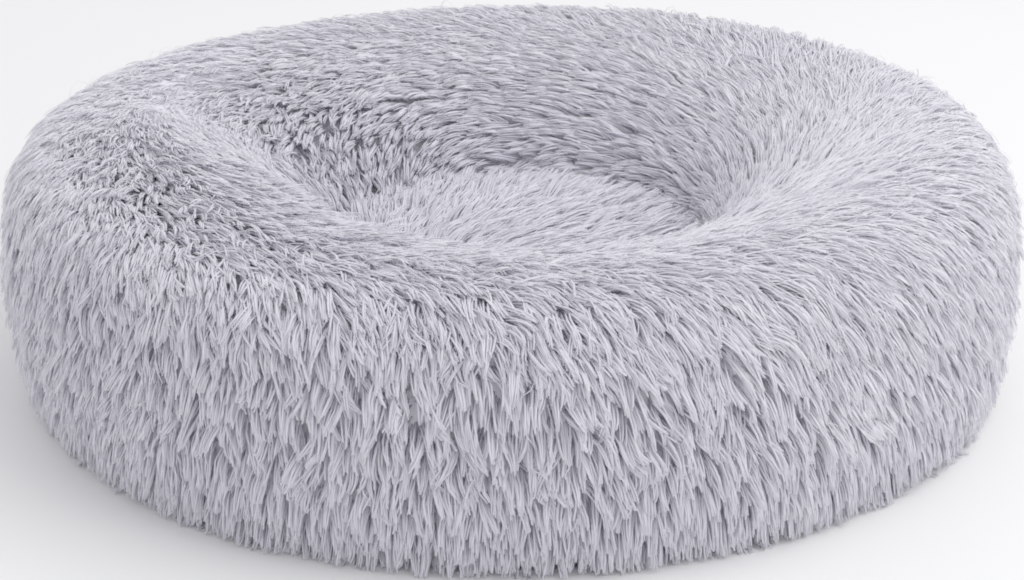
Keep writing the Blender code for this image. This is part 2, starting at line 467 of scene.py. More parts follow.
@dataclass(frozen=True)
class PileFinish:
    """Long plush pile: dark at the root where it is ruffled, pale and silky towards the tip; the dark roots
    are painted shade.
    """

    name: str = "plush_pile"
    # Root colours are painted shade: strongly darkened for ruffled pile, lightly for calm pile, standing in
    # for the shade deep between strands.
    root: Triple = (0.43, 0.395, 0.515)
    calm_shaded_root: Triple = (0.70, 0.675, 0.765)
    middle: Triple = (0.775, 0.756, 0.836)
    tip: Triple = (0.848, 0.834, 0.900)
    # Tone ramp ends: the tone mixes random dye with painted shade (ruffled pile, nest slope, sunken floor)
    # and a painted highlight (crest).
    dark_dye_and_shade: Triple = (0.86, 0.852, 0.885)
    pale_dye_and_highlight: Triple = (1.0, 1.0, 1.0)
    roughness: float = 0.8
    sheen: float = 0.2
    coordinates: str = "strand"

    def make(self) -> bpy.types.Material:
        """Build the node material.

        Returns:
            The material, reading the strand map: across for tone, along for root to tip.
        """
        board = NodeBoard(self.name)
        strand = board.add("ShaderNodeUVMap", uv_map=self.coordinates).outputs["UV"]
        parts = board.add("ShaderNodeSeparateXYZ")
        board.feed(parts, Vector=strand)
        # Painted shade along the strand: ruffled pile darkens from the middle down to the root.
        ruffled = board.ramp(parts.outputs["Y"], [
            (0.0, self.root), (0.26, self.middle), (0.66, self.tip), (1.0, self.tip)])
        # Painted shade for calm pile: only the lowest part of the strand is darkened.
        silky = board.ramp(parts.outputs["Y"], [
            (0.0, self.calm_shaded_root), (0.15, self.tip), (1.0, self.tip)])
        along = board.blend("MIX", parts.outputs["X"], ruffled, silky)
        # Tone across the strand map: random dye plus painted shade and painted highlight.
        tone = board.ramp(parts.outputs["X"], [(0.0, self.dark_dye_and_shade), (1.0, self.pale_dye_and_highlight)])
        streak = board.noise(board.stretch(strand, (420.0, 5.0, 1.0)), 1.0, 2.0, 0.6)
        fleck = board.ramp(streak, [(0.25, (0.94, 0.94, 0.95)), (0.75, (1.0, 1.0, 1.0))])
        colour = board.blend("MULTIPLY", 1.0, board.blend("MULTIPLY", 1.0, along, tone), fleck)
        board.surface(Base_Color=colour, Roughness=self.roughness, Sheen_Weight=self.sheen,
                      Sheen_Roughness=0.5, Specular_IOR_Level=0.1)
        return board.material


@dataclass(frozen=True)
class KnitFinish:
    """Fine knitted backing that the pile grows from."""

    name: str = "knit_backing"
    light: Triple = (0.70, 0.685, 0.74)
    dark: Triple = (0.52, 0.505, 0.57)
    rib: float = 900.0

    def make(self) -> bpy.types.Material:
        """Build the node material: short ribs with uneven dye."""
        board = NodeBoard(self.name)
        place = board.here()
        ribs = board.noise(board.stretch(place, (self.rib, self.rib, self.rib / 3)), 1.0, 1.0)
        dye = board.noise(place, 40.0, 3.0)
        colour = board.ramp(board.mingle(ribs, dye), [(0.3, self.dark), (0.7, self.light)])
        board.bump(ribs, 0.6, 0.0004)
        board.surface(Base_Color=colour, Roughness=0.9, Sheen_Weight=0.2)
        return board.material


@dataclass(frozen=True)
class WaddingFinish:
    """Fluffed polyester wadding."""

    name: str = "polyester_wadding"
    light: Triple = (0.86, 0.86, 0.87)
    dark: Triple = (0.70, 0.70, 0.73)

    def make(self) -> bpy.types.Material:
        """Build the node material: crossed fine fibres and soft clouds."""
        board = NodeBoard(self.name)
        place = board.here()
        one = board.noise(board.stretch(place, (900.0, 120.0, 300.0)), 1.0, 3.0)
        two = board.noise(board.stretch(place, (120.0, 900.0, 500.0)), 1.0, 3.0)
        cloud = board.noise(place, 30.0, 4.0)
        height = board.mingle(board.maths("MAXIMUM", one, two), cloud)
        board.bump(height, 0.7, 0.001)
        board.surface(Base_Color=board.ramp(height, [(0.35, self.dark), (0.7, self.light)]),
                      Roughness=0.95, Sheen_Weight=0.3)
        return board.material


@dataclass(frozen=True)
class WeaveFinish:
    """Plain-woven polyester base cloth."""

    name: str = "base_weave"
    warp: Triple = (0.40, 0.395, 0.44)
    weft: Triple = (0.32, 0.315, 0.36)
    threads: float = 1400.0

    def make(self) -> bpy.types.Material:
        """Build the node material: crossed threads over and under, with slubs."""
        board = NodeBoard(self.name)
        place = board.here()
        ways = []
        for way in ("X", "Y"):
            wave = board.add("ShaderNodeTexWave", bands_direction=way, wave_profile="SIN")
            board.feed(wave, Vector=place, Scale=self.threads / TAU, Distortion=0.6, Detail=1.0)
            ways.append(wave.outputs["Fac"])
        height = board.maths("MAXIMUM", *ways)
        slub = board.noise(board.stretch(place, (30.0, 600.0, 30.0)), 1.0, 3.0)
        base = board.ramp(height, [(0.3, self.weft), (0.95, self.warp)])
        uneven = board.ramp(slub, [(0.35, (0.8, 0.8, 0.82)), (0.65, (1, 1, 1))])
        colour = board.blend("MULTIPLY", 0.5, base, uneven)
        board.bump(height, 0.5, 0.0003)
        board.surface(Base_Color=colour, Roughness=0.85, Sheen_Weight=0.1)
        return board.material


@dataclass(frozen=True)
class GripFinish:
    """Soft vinyl grip dots."""

    name: str = "grip_vinyl"
    light: Triple = (0.62, 0.61, 0.66)
    dark: Triple = (0.52, 0.51, 0.56)

    def make(self) -> bpy.types.Material:
        """Build the node material: faintly mottled, soft gloss."""
        board = NodeBoard(self.name)
        place = board.here()
        mottle = board.noise(place, 260.0, 3.0)
        board.bump(board.noise(place, 2600.0, 2.0), 0.2, 0.0001)
        board.surface(Base_Color=board.ramp(mottle, [(0.35, self.dark), (0.65, self.light)]), Roughness=0.5)
        return board.material


@dataclass(frozen=True)
class ThreadFinish:
    """Twisted sewing thread."""

    name: str = "sewing_thread"
    light: Triple = (0.66, 0.65, 0.71)
    dark: Triple = (0.44, 0.43, 0.50)

    def make(self) -> bpy.types.Material:
        """Build the node material: slanting twist and fuzz."""
        board = NodeBoard(self.name)
        place = board.here()
        twist = board.add("ShaderNodeTexWave", bands_direction="DIAGONAL")
        board.feed(twist, Vector=place, Scale=700.0, Distortion=1.5, Detail=2.0)
        board.bump(twist.outputs["Fac"], 0.5, 0.0002)
        board.surface(Base_Color=board.ramp(twist.outputs["Fac"], [(0.2, self.dark), (0.8, self.light)]),
                      Roughness=0.6, Sheen_Weight=0.2)
        return board.material


@dataclass(frozen=True)
class FloorFinish:
    """Matt white studio floor."""

    name: str = "studio_floor"
    tone: Triple = (0.93, 0.93, 0.935)

    def make(self) -> bpy.types.Material:
        """Build the node material: near-white with a faint unevenness."""
        board = NodeBoard(self.name)
        place = board.here()
        haze = board.noise(place, 3.0, 2.0)
        dim = tuple(0.985 * part for part in self.tone)
        board.surface(Base_Color=board.ramp(haze, [(0.3, dim), (0.7, self.tone)]), Roughness=0.9)
        return board.material


# ---------- pile


@dataclass(frozen=True)
class NapRow:
    """How the pile lies at one station, every 45 degrees anticlockwise from +X.

    Angles are in degrees from the way round the ring (0) towards the nest (90); -90 runs down the outside.
    """

    station: Station
    heading: tuple[float, ...]
    length: tuple[float, ...]
    gather: tuple[float, ...]
    ruffle: tuple[float, ...]


NAP_ROWS = (
    NapRow(Station.FOOT,
           heading=(-72, -88, -90, -92, -96, -92, -84, -74), length=(22, 21, 21, 21, 20, 20, 21, 22),
           gather=(.4, .4, .4, .4, .45, .6, .6, .45), ruffle=(.4, .5, .6, .5, .35, 1.2, 1.7, .8)),
    NapRow(Station.LOW,
           heading=(-68, -85, -90, -90, -96, -92, -82, -70), length=(24, 23, 23, 23, 22, 22, 23, 24),
           gather=(.4, .4, .4, .4, .4, .6, .6, .45), ruffle=(.4, .5, .6, .5, .35, 1.3, 1.8, .8)),
    NapRow(Station.WALL,
           heading=(-64, -82, -85, -86, -84, -84, -80, -66), length=(25, 23, 23, 23, 23, 22, 23, 25),
           gather=(.4, .4, .4, .4, .35, .6, .6, .45), ruffle=(.35, .5, .6, .5, .3, 1.2, 1.7, .7)),
    NapRow(Station.SHOULDER,
           heading=(-60, -75, -75, -66, -50, -58, -66, -60), length=(27, 24, 22, 22, 23, 22, 23, 26),
           gather=(.4, .4, .4, .4, .3, .6, .6, .4), ruffle=(.35, .4, .5, .4, .3, 1.0, 1.3, .6)),
    NapRow(Station.CREST,
           heading=(-48, -40, -28, -18, -14, -22, -34, -48), length=(27, 25, 22, 23, 27, 27, 27, 28),
           gather=(.35, .4, .4, .4, .4, .5, .5, .4), ruffle=(.35, .4, .5, .4, .45, .9, .9, .5)),
    NapRow(Station.LIP,
           heading=(-35, -22, -8, 10, 12, 8, -12, -38), length=(28, 26, 23, 24, 28, 30, 30, 29),
           gather=(.3, .35, .4, .6, .4, .5, .5, .4), ruffle=(.35, .5, .45, .9, .5, .9, .9, .5)),
    NapRow(Station.SLOPE,
           heading=(-25, -10, 2, 42, 38, 28, 4, -22), length=(25, 24, 23, 25, 25, 25, 25, 25),
           gather=(.35, .4, .4, .6, .35, .35, .35, .35), ruffle=(.45, .6, .5, 1.1, .4, .8, .8, .5)),
    NapRow(Station.NEST_FOOT,
           heading=(0, 0, 10, 60, 60, 40, 20, 0), length=(18, 18, 18, 20, 20, 18, 18, 18),
           gather=(.4, .4, .5, .6, .4, .4, .4, .4), ruffle=(.5, .6, .6, 1.0, .5, .5, .6, .5)),
)


class NapField:
    """Looks up the pile's lie anywhere on the ring."""

    def __init__(self, rows: Sequence[NapRow]) -> None:
        """Keep the rows in order of their stations."""
        self.stations = np.array([row.station.value for row in rows])
        self.tables = [np.array([getattr(row, key) for row in rows], float)
                       for key in ("heading", "length", "gather", "ruffle")]

    def read(self, angle: Array, arc: Array) -> list[Array]:
        """Heading, length, gather and ruffle, between the stations and round the ring."""
        many = self.tables[0].shape[1]
        rows = len(self.stations)
        row = np.clip(np.interp(arc, self.stations, np.arange(rows)), 0, rows - 1.001)
        column = (angle / TAU * many) % many
        i, j = row.astype(int), column.astype(int)
        u, v = smooth(0, 1, row - i), smooth(0, 1, column - j)
        return [between(table, i, j, (j + 1) % many, u, v) for table in self.tables]


@dataclass(frozen=True)
class Disorder:
    """How far the pile strays from its nap: degrees at full ruffle, then shares, then metres."""

    root_lift: float = 7.0
    raised: float = 11.0
    tuft_lift: float = 7.0
    lock_lift: float = 12.0
    turn: float = 9.0
    bend: float = 14.0
    sway: float = 13.0
    curl: float = 0.10
    tone: float = 0.16
    lock_length: tuple[float, float] = (0.86, 1.12)
    reach: tuple[float, float] = (0.86, 1.05)
    width: tuple[float, float] = (0.82, 1.14)
    calm_width: tuple[float, float] = (0.84, 0.16)
    stray_width: float = 0.5
    wobble: float = 0.0005
    stray_wobble: float = 0.0025
    layer: float = 0.0022


@dataclass
class Tufts:
    """Tufts to be grown: where each stands and how it lies."""

    roots: Array
    heading: Array
    length: Array
    gather: Array
    ruffle: Array
    tone: Array
    strands: int
    spread: float
    lock: Array
    pull: Array
    flatten: Array
    lift: tuple[float, float] = (46.0, 5.0)
    hang: float = 0.0
    fixed: bool = False


@dataclass(frozen=True)
class StrandSize:
    """One strand of plush.  Metres."""

    joints: int = 4
    root_half: float = 0.00042
    belly_half: float = 0.00063
    tip_half: float = 0.00044
    narrowing: float = 0.92
    flatness: float = 0.42
    tone_columns: int = 128


class PileGrower:
    """Grows tufts of strands out of the backing and turns them into meshes."""

    GROUND = 0.0009
    LIMIT = 7200
    DROOP = 0.25
    STRAY = 0.03
    ROOTED = 0.0006
    CLEAR = 0.0012
    SPRING = 1.12
    FRINGE = (0.06, 0.02)
    FALL = 0.9
    SPLAY = 0.35
    NEAR_GROUND = 0.006

    def __init__(self, shape: BedShape, depth: float, strand: StrandSize,
                 finish: bpy.types.Material) -> None:
        """Keep what every tuft needs.

        Args:
            shape: the bed's outer form.
            depth: how far the backing lies under it.
            strand: strand sizes.
            finish: the pile's material.
        """
        self.shape, self.depth, self.strand, self.finish = shape, depth, strand, finish
        self.loose = Disorder()
        self.sway = Ripple(90, 0.034)
        self.curl = [Ripple(70 + k, 0.011) for k in range(3)]

    def _march(self, tufts: Tufts, rng: np.random.Generator) -> tuple[Array, Array]:
        """Follow each tuft's middle line over the surface; gives its points and the root normals."""
        joints, loose = self.strand.joints, self.loose
        here = tufts.roots.copy()
        line = [here.copy()]
        locks, lock = int(tufts.lock.max()) + 1, tufts.lock

        def scatter(middle: float, by_tuft: float, by_lock: float) -> Array:
            """Angles that differ from tuft to tuft and from lock to lock."""
            angle = middle + rng.normal(0, by_tuft, len(here)) + rng.normal(0, by_lock, locks)[lock]
            return angle * tufts.ruffle

        first_lift = np.radians((tufts.lift[0] + rng.normal(0, loose.root_lift, len(here))) * tufts.flatten)
        last_lift = tufts.lift[1] + scatter(loose.raised, loose.tuft_lift, loose.lock_lift)
        last_lift = np.radians(last_lift * tufts.flatten)
        turn = scatter(0.0, loose.turn, loose.turn)
        bend = scatter(0.0, loose.bend, loose.bend)
        length = tufts.length * rng.uniform(*loose.lock_length, locks)[lock]
        root_normal = None
        for k in range(joints):
            share = (k + 0.5) / joints
            _, normal = self.shape.survey(here)
            root_normal = normal if root_normal is None else root_normal
            round_way = unit(np.stack([-here[:, 1], here[:, 0], np.zeros(len(here))], -1))
            over_way = unit(np.cross(normal, round_way))
            sway = self.sway(here) * loose.sway * tufts.ruffle
            heading = np.radians(tufts.heading + turn + sway + bend * (share - 0.4))
            flat = round_way * np.cos(heading)[:, None] + over_way * np.sin(heading)[:, None]
            if tufts.fixed:
                flat = np.stack([np.cos(heading), np.sin(heading), np.zeros(len(here))], -1)
            lift = first_lift + (last_lift - first_lift) * share**0.75
            way = flat * np.cos(lift)[:, None] + normal * np.sin(lift)[:, None]
            way[:, 2] -= self.DROOP * share
            way += loose.curl * tufts.ruffle[:, None] * np.stack([c(here) for c in self.curl], -1) * share
            hang = (tufts.hang * smooth(*self.FRINGE, here[:, 2]))[:, None]
            outward = unit(here * [1.0, 1.0, 0.0])
            way = unit(way) * (1 - hang) + hang * (outward * (0.42 - 0.3 * share) - [0, 0, self.FALL])
            step = (length / joints)[:, None]
            way = unit(way)
            way[:, 2] = np.maximum(way[:, 2], -(here[:, 2] - self.GROUND) / step[:, 0])
            way += outward * (self.SPLAY * smooth(self.NEAR_GROUND, 0.0, here[:, 2]))[:, None]
            here = here + unit(way) * step
            line.append(here.copy())
        line = np.stack(line, 1)
        many = np.bincount(lock, minlength=locks)
        middle = np.stack([np.bincount(lock, line[:, k, axis], locks) / np.maximum(many, 1)
                           for k in range(joints + 1) for axis in range(3)], -1)
        middle = middle.reshape(locks, joints + 1, 3)
        share = tufts.pull[:, None, None] * smooth(0.1, 1.0, np.linspace(0, 1, joints + 1))[None, :, None]
        return line + share * (middle[lock] - line), root_normal

    def _strands(self, tufts: Tufts, rng: np.random.Generator) -> tuple[Array, ...]:
        """Spread each tuft's strands about its middle line; gives paths, normals, tones and widths."""
        line, normal = self._march(tufts, rng)
        count, joints, loose = tufts.strands, self.strand.joints, self.loose
        many = len(line) * count
        line = np.repeat(line, count, axis=0)
        normal = np.repeat(normal, count, axis=0)
        gather = np.repeat(tufts.gather, count)
        ruffle = np.repeat(tufts.ruffle, count)
        reach = rng.uniform(*loose.reach, many)
        share = np.linspace(0, 1, joints + 1)[None, :] * reach[:, None]
        place = np.clip(share * joints, 0, joints - 1e-6)
        low = place.astype(int)
        part = (place - low)[..., None]
        rows = np.arange(many)[:, None]
        path = line[rows, low] * (1 - part) + line[rows, np.minimum(low + 1, joints)] * part
        last = line[:, -1] - line[:, -2]
        past = np.maximum(share - 1.0, 0)[..., None] * np.linalg.norm(last, axis=-1)[:, None, None] * joints
        path += unit(last)[:, None] * past
        side = unit(np.cross(normal, line[:, 2] - line[:, 0]))
        ahead = unit(np.cross(side, normal))
        turn, far = rng.uniform(0, TAU, many), tufts.spread * np.sqrt(rng.uniform(0, 1, many))
        offset = (side * np.cos(turn)[:, None] + ahead * np.sin(turn)[:, None]) * far[:, None]
        close = 1.0 - gather[:, None] * smooth(0.0, 0.6, share)
        path = path + offset[:, None] * close[..., None]
        stray = rng.uniform(0, 1, many) < self.STRAY
        wobble = rng.normal(0, 1, (many, 3)) * (loose.wobble * ruffle + loose.stray_wobble * stray)[:, None]
        path += wobble[:, None] * np.sin(share * 3.3)[..., None]
        layer = rng.uniform(0.0, loose.layer, many)
        path += normal[:, None] * (layer[:, None] * smooth(0.1, 0.6, share))[..., None]
        tone = np.repeat(tufts.tone, count) + rng.normal(0, loose.tone, many)
        calm, fuller = loose.calm_width
        size = (np.where(stray, loose.stray_width, rng.uniform(*loose.width, many))
                * (calm + fuller * np.minimum(ruffle, 1.0)))
        return self._settle(path), normal, tone, size

    def _settle(self, path: Array) -> Array:
        """Push points out of the backing and up off the ground."""
        flat = path.reshape(-1, 3)
        gap, normal = self.shape.survey(flat)
        floor = np.tile(np.concatenate([[-self.ROOTED], np.full(path.shape[1] - 1, self.CLEAR)]), len(path))
        short = np.maximum(floor - (gap + self.depth), 0.0)
        short = np.where(floor < 0, floor - (gap + self.depth), short)
        flat = flat + normal * short[:, None]
        low = np.maximum(self.GROUND - flat[:, 2], 0.0)
        flat[:, 2] += low * self.SPRING
        return flat.reshape(path.shape)

    def _tubes(self, name: str, path: Array, normal: Array, tone: Array,
               size: Array) -> Piece:
        """Turn strand paths into blunt-ended tubes on one mesh, with their strand map."""
        s, rings = self.strand, path.shape[1]
        half = np.interp(np.linspace(0, 1, rings), [0, 0.35, 0.8, 1.0],
                         [s.root_half, s.belly_half, s.belly_half * s.narrowing, s.tip_half])
        obj = build_tubes(name, path, normal, half * size[:, None], s.flatness, self.GROUND * 0.5)
        self._map(obj, tone, len(path), rings)
        obj.data.materials.append(self.finish)
        return obj

    def _map(self, obj: Piece, tone: Array, count: int, rings: int) -> None:
        """Lay the strand map: across by tone and side, along from root to tip."""
        s = self.strand
        column = np.clip((tone * 0.5 + 0.5) * s.tone_columns, 0, s.tone_columns - 1).astype(int)
        across = (column[:, None, None] + np.array([0.1, 0.5, 0.9])) / s.tone_columns
        across = np.broadcast_to(across, (count, rings, 3))
        along = np.repeat(np.linspace(0.03, 0.97, rings)[:, None], 3, axis=1)
        along[0, 1], along[-1, 1] = 0.01, 0.99
        place = np.stack([across, np.broadcast_to(along, (count, rings, 3))], -1).reshape(-1, 2)
        corners = np.empty(len(obj.data.loops), np.int32)
        obj.data.loops.foreach_get("vertex_index", corners)
        uv = place[corners].astype(np.float32).ravel()
        for name in (PileFinish.coordinates, "OFBake"):
            layer = obj.data.uv_layers.new(name=name)
            layer.data.foreach_set("uv", uv)
        obj.data.uv_layers[PileFinish.coordinates].active_render = True
        obj.data.uv_layers.active = obj.data.uv_layers[PileFinish.coordinates]

    def grow(self, name: str, groups: Sequence[Tufts], seed: int) -> list[Piece]:
        """Grow tufts and split them round the ring into pieces of a workable size.

        Args:
            name: start of the pieces' names.
            groups: the tufts.
            seed: random seed.

        Returns:
            The pile pieces.
        """
        rng = np.random.default_rng(seed)
        grown = [self._strands(tufts, rng) for tufts in groups]
        path, normal, tone, size = (np.concatenate(part) for part in zip(*grown))
        order = np.argsort(np.arctan2(path[:, 0, 1], path[:, 0, 0]), kind="stable")
        parts = np.array_split(order, math.ceil(len(order) / self.LIMIT))
        LOG.info("%s: %d strands", name, len(path))
        return [self._tubes(f"{name}_{number}", path[part], normal[part], tone[part], size[part])
                for number, part in enumerate(parts, 1)]


# ---------- bodies


def sweep(name: str, shape: BedShape, loop: Array, turns: int) -> Piece:
    """Sweep a closed section loop round the bed, with its lumps.

    Args:
        name: object name.
        shape: the bed's form.
        loop: (n, 2) radius and height, closed.
        turns: steps round.

    Returns:
        The object.
    """
    angle = np.linspace(0, TAU, turns, endpoint=False)
    count = len(loop)
    points = shape.place(np.repeat(angle, count), np.tile(loop[:, 0], turns), np.tile(loop[:, 1], turns))
    i, j = np.meshgrid(np.arange(turns), np.arange(count), indexing="ij")
    a = i * count + j
    b = i * count + (j + 1) % count
    c = ((i + 1) % turns) * count + (j + 1) % count
    d = ((i + 1) % turns) * count + j
    quads = np.stack([a, d, c, b], -1).reshape(-1, 4)
    return build_mesh(name, points, quads, no_triangles())


def spin_solid(name: str, shape: BedShape, line: Array, turns: int) -> Piece:
    """Spin an open line whose two ends lie on the axis into a closed body."""
    angle = np.linspace(0, TAU, turns, endpoint=False)
    body = line[1:-1]
    count = len(body)
    points = shape.place(np.repeat(angle, count), np.tile(body[:, 0], turns), np.tile(body[:, 1], turns))
    poles = np.array([[0, 0, line[0, 1]], [0, 0, line[-1, 1]]])
    i, j = np.meshgrid(np.arange(turns), np.arange(count - 1), indexing="ij")
    here, beyond = i * count + j, (i + 1) % turns * count + j
    quads = np.stack([here, beyond, beyond + 1, here + 1], -1).reshape(-1, 4)
    start = np.arange(turns) * count
    after = np.roll(start, -1)
    first = np.stack([np.full(turns, len(points)), after, start], -1)
    last = np.stack([np.full(turns, len(points) + 1), start + count - 1, after + count - 1], -1)
    return build_mesh(name, np.concatenate([points, poles]), quads, np.concatenate([first, last]))


def offset_cloth(line: Array, thick: float) -> Array:
    """Close a section line into a thin loop on its inner side."""
    way = np.gradient(line, axis=0)
    inward = unit(np.stack([-way[:, 1], way[:, 0]], 1))
    return np.concatenate([line, (line + inward * thick)[::-1]])


class Padding:
    """A stuffed body: remeshed, blown up by a short cloth simulation, then given the soft unevenness of
    wadding.
    """

    VOXEL = 0.006
    PRESSURE = 4.0
    FRAMES = 20
    CAP = 0.0028
    TUFTING = 0.0006
    LOWEST = 0.0018

    def puff(self, obj: Piece) -> None:
        """Simulate the stuffing's push and keep the result in the mesh, with no cloth left on it.

        Args:
            obj: closed body, slightly smaller than the finished pad.
        """
        bpy.context.view_layer.objects.active = obj
        remesh = obj.modifiers.new("remesh", "REMESH")
        remesh.mode, remesh.voxel_size, remesh.use_smooth_shade = "VOXEL", self.VOXEL, True
        self._keep(obj, remesh)
        start = read_points(obj)
        cloth = obj.modifiers.new("cloth", "CLOTH")
        cloth.settings.use_pressure = True
        cloth.settings.uniform_pressure_force = self.PRESSURE
        cloth.settings.effector_weights.gravity = 0.0
        cloth.point_cache.frame_start, cloth.point_cache.frame_end = 1, self.FRAMES
        for step in range(1, self.FRAMES + 1):
            bpy.context.scene.frame_set(step)
        self._keep(obj, cloth)
        moved = read_points(obj) - start
        size = np.linalg.norm(moved, axis=1, keepdims=True)
        moved *= np.minimum(1.0, self.CAP / np.maximum(size, 1e-9))
        write_points(obj, start + moved)
        bpy.context.scene.frame_set(1)
        self._crumple(obj)

    def _keep(self, obj: Piece, modifier: bpy.types.Modifier) -> None:
        """Bake a modifier's result into the mesh."""
        graph = bpy.context.evaluated_depsgraph_get()
        mesh = bpy.data.meshes.new_from_object(obj.evaluated_get(graph), depsgraph=graph)
        obj.modifiers.remove(modifier)
        old, obj.data = obj.data, mesh
        bpy.data.meshes.remove(old)

    def _crumple(self, obj: Piece) -> None:
        """Add the soft unevenness of loose wadding, inward, and keep the pad above the base cloth."""
        points = read_points(obj)
        normals = np.empty(len(points) * 3, np.float32)
        obj.data.vertices.foreach_get("normal", normals)
        dent = 1.0 + 0.5 * (Ripple(5, 0.03)(points) + Ripple(6, 0.012)(points))
        points = points - normals.reshape(-1, 3) * (dent * self.TUFTING)[:, None]
        points[:, 2] = np.maximum(points[:, 2], self.LOWEST)
        write_points(obj, points)


@dataclass(frozen=True)
class BaseCloth:
    """The woven underside with its grip dots.  Metres."""

    radius: float = 0.2722
    low: float = 0.0005
    high: float = 0.0014
    turns: int = 160
    rings: int = 60
    dot_radius: float = 0.0017
    dot_pitch: float = 0.0125
    dot_sides: int = 10
    margin: float = 0.009
    puckers: int = 90
    pucker_height: float = 0.0002

    def cloth(self, shape: BedShape) -> Piece:
        """Build the disc of cloth, faintly puckered towards its sewn edge."""
        radius = np.concatenate([np.linspace(0, self.radius, self.rings),
                                 np.linspace(self.radius, 0, self.rings)])
        height = np.repeat([self.high, self.low], self.rings)
        obj = spin_solid("base_cloth", shape, np.stack([radius, height], 1), self.turns)
        points = read_points(obj)
        wide = np.hypot(points[:, 0], points[:, 1])
        angle = np.arctan2(points[:, 1], points[:, 0])
        rim = smooth(self.radius - 0.02, self.radius - 0.002, wide)
        pucker = np.sin(angle * self.puckers) * rim * self.pucker_height
        points[:, 2] += pucker * (points[:, 2] > (self.low + self.high) / 2) - np.abs(pucker)
        points[:, :2] *= self.radius / max(wide.max(), 1e-9)
        points[:, 2] = np.maximum(points[:, 2], self.low * 0.6)
        write_points(obj, points)
        return obj

    def dots(self) -> Piece:
        """Build the grip dots as low domes under the cloth."""
        count = int(self.radius / self.dot_pitch) + 2
        i, j = np.meshgrid(np.arange(-count, count + 1), np.arange(-count, count + 1), indexing="ij")
        x = (i + 0.5 * (j % 2)) * self.dot_pitch
        y = j * self.dot_pitch * math.sqrt(0.75)
        keep = np.hypot(x, y) < self.radius - self.margin
        middles = np.stack([x[keep], y[keep]], 1)
        sides, lid = self.dot_sides, self.low + 0.0002
        turn = np.linspace(0, TAU, sides, endpoint=False)
        rounds = [(1.0, lid), (0.96, 0.00025), (0.72, 0.00008)]
        size = self.dot_radius
        ring = np.concatenate([np.stack([np.cos(turn) * share * size, np.sin(turn) * share * size,
                                         np.full(sides, height)], 1) for share, height in rounds]
                              + [np.array([[0, 0, 0.00004], [0, 0, lid]])])
        points = ring[None] + np.concatenate([middles, np.zeros((len(middles), 1))], 1)[:, None]
        step, after = np.arange(sides), (np.arange(sides) + 1) % sides
        quads = np.concatenate([np.stack([step, sides + step, sides + after, after], 1) + low
                                for low in (0, sides)])
        foot, top = np.full(sides, 3 * sides), np.full(sides, 3 * sides + 1)
        ends = np.concatenate([np.stack([2 * sides + step, foot, 2 * sides + after], 1),
                               np.stack([after, top, step], 1)])
        shift = (np.arange(len(middles)) * len(ring))[:, None, None]
        return build_mesh("base_grip_dots", points.reshape(-1, 3), (quads[None] + shift).reshape(-1, 4),
                          (ends[None] + shift).reshape(-1, 3))


@dataclass(frozen=True)
class Stitching:
    """Lockstitches along a seam, each a short raised loop of thread.  Metres."""

    pitch: float = 0.0034
    stitch: float = 0.0026
    rise: float = 0.0007
    half: float = 0.00032
    gap: float = 0.0012
    sunk: float = 0.0002
    flatness: float = 0.9
    ground: float = 0.0003

    def sew(self, name: str, line: Array, normal: Array) -> Piece:
        """Sew a double row of stitches along a line.

        Args:
            name: object name.
            line: (n, 3) the seam on the backing.
            normal: (n, 3) the way out of the backing along it.

        Returns:
            The thread's object.
        """
        steps = travel(line)
        middle = np.arange(self.pitch / 2, steps[-1] - self.pitch / 2, self.pitch)
        share = np.linspace(-0.5, 0.5, 5)
        path = points_at(line, steps, middle[:, None] + share * self.stitch)
        out = unit(points_at(normal, steps, middle))
        side = unit(np.cross(path[:, -1] - path[:, 0], out))
        path = path + out[:, None] * (self.rise * (1 - (2 * share) ** 2) - self.sunk)[None, :, None]
        both = np.concatenate([path + side[:, None] * self.gap, path - side[:, None] * self.gap])
        half = self.half * np.array([0.7, 1.0, 1.0, 1.0, 0.7])
        return build_tubes(name, both, np.concatenate([out, out]), half, self.flatness, self.ground)


# ---------- studio


